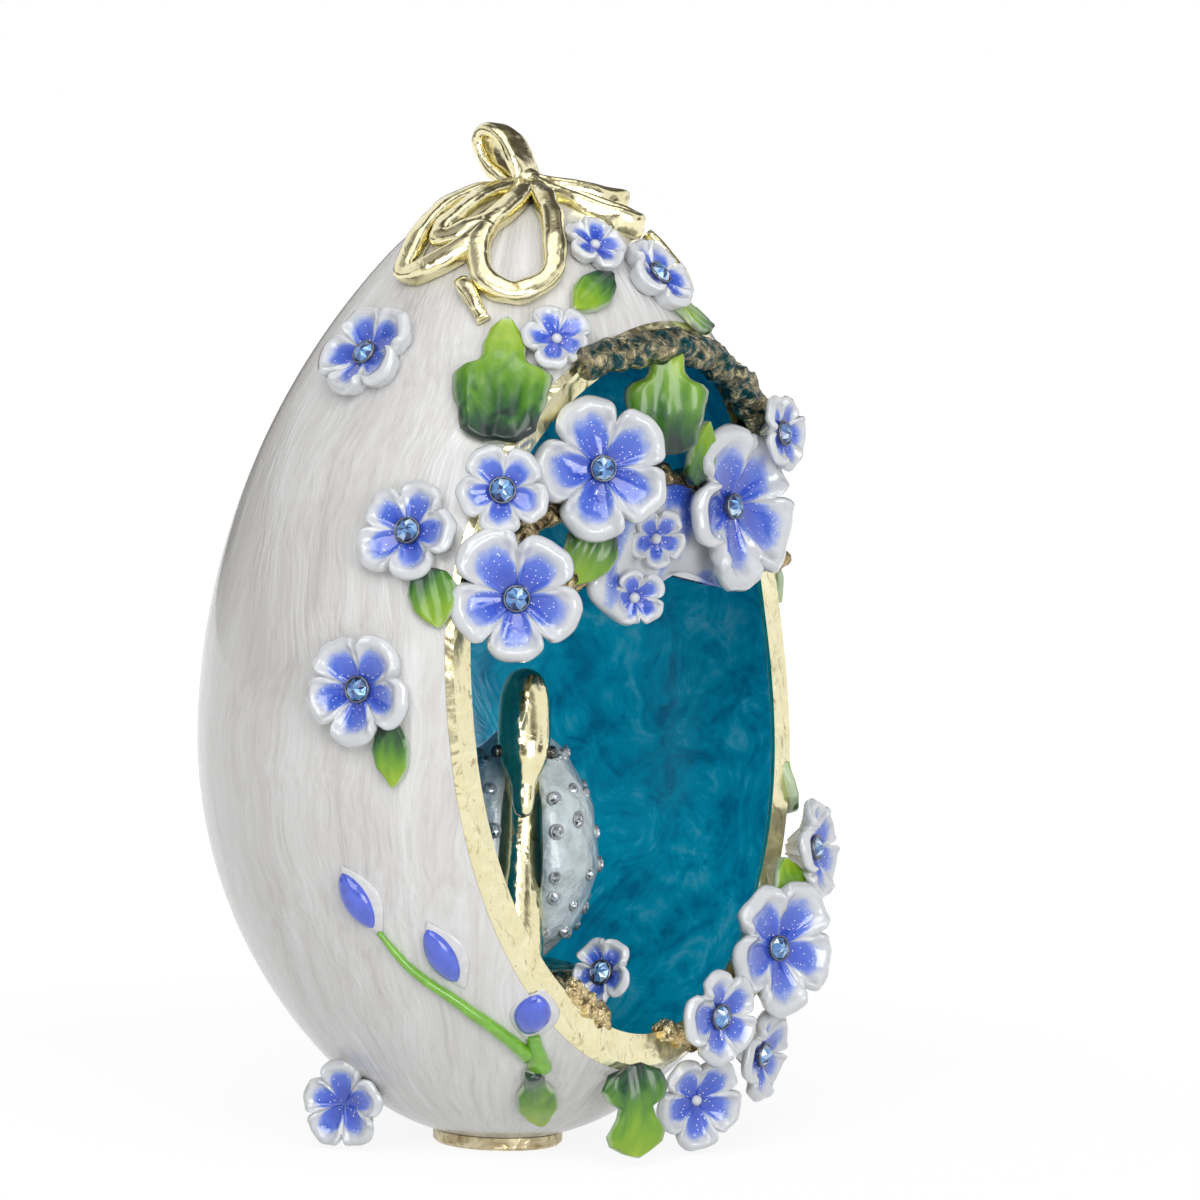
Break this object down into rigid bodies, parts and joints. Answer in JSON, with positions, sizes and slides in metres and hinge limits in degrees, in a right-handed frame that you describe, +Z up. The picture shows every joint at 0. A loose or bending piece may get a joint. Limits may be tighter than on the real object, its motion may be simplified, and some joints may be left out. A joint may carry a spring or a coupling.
{
  "type": "decorative egg",
  "caption": "Enamelled metal egg with an open window, a small swan inside, a ribbon bow on top and flowers for feet.",
  "frame": {"origin": "centre of the base cap's flat underside, on the surface that the egg stands on", "axes": "+Z up along the egg's axis, -Y out of the window, +X to the right of the window as it faces the viewer"},
  "size_m": [0.0675, 0.0552, 0.102],
  "materials": {
    "pearl_enamel": "glossy pearl white enamel outside, turquoise enamel inside",
    "gilding": "polished gold plating on cast metal",
    "blue_enamel": "glossy white enamel shaded to blue at the middle",
    "green_enamel": "glossy green enamel with pale edges",
    "bud_enamel": "glossy blue enamel",
    "white_enamel": "pearly white enamel",
    "black_enamel": "glossy black enamel",
    "sapphire_stone": "faceted pale blue glass",
    "clear_stone": "faceted clear glass"
  },
  "bodies": {
    "root": {"arch_branch": "gilding", "base_cap": "gilding", "bow_tails": "gilding", "flower_arch_left": "blue_enamel", "flower_arch_right": "blue_enamel", "flower_arch_side": "blue_enamel", "flower_arch_top": "blue_enamel", "flower_foot_front": "blue_enamel", "flower_foot_left": "blue_enamel", "flower_foot_right": "blue_enamel", "flower_foot_side": "blue_enamel", "flower_garland_bud_lower": "blue_enamel", "flower_garland_bud_upper": "blue_enamel", "flower_garland_large": "blue_enamel", "flower_garland_lower": "blue_enamel", "flower_garland_right": "blue_enamel", "flower_garland_rim": "blue_enamel", "flower_left_middle": "blue_enamel", "flower_left_shoulder": "blue_enamel", "flower_left_upper": "blue_enamel", "flower_right_middle": "blue_enamel", "flower_right_shoulder": "blue_enamel", "flower_right_upper": "blue_enamel", "flower_sill_left": "blue_enamel", "flower_sill_middle": "blue_enamel", "flower_sill_right": "blue_enamel", "flower_sill_side": "blue_enamel", "flower_stones": "sapphire_stone", "garland_branch": "gilding", "garland_web": "gilding", "leaf_arch_left": "green_enamel", "leaf_arch_side": "green_enamel", "leaf_foot_front": "green_enamel", "leaf_garland_front": "green_enamel", "leaf_garland_right": "green_enamel", "leaf_opening_left": "green_enamel", "leaf_opening_right": "green_enamel", "leaf_sill_right": "green_enamel", "leaf_sill_side": "green_enamel", "leaves_left_side": "green_enamel", "leaves_right_side": "green_enamel", "ribbon_bow": "gilding", "shell_casting": "pearl_enamel", "sill_ledge": "gilding", "sprig_buds": "bud_enamel", "sprig_leaves": "green_enamel", "sprig_stems": "green_enamel", "swan_body": "gilding", "swan_eyes": "black_enamel", "swan_ground": "gilding", "swan_head": "gilding", "swan_neck": "gilding", "swan_wing_left": "white_enamel", "swan_wing_right": "white_enamel", "swan_wing_stones": "clear_stone", "window_border": "gilding"}
  },
  "joints": []
}
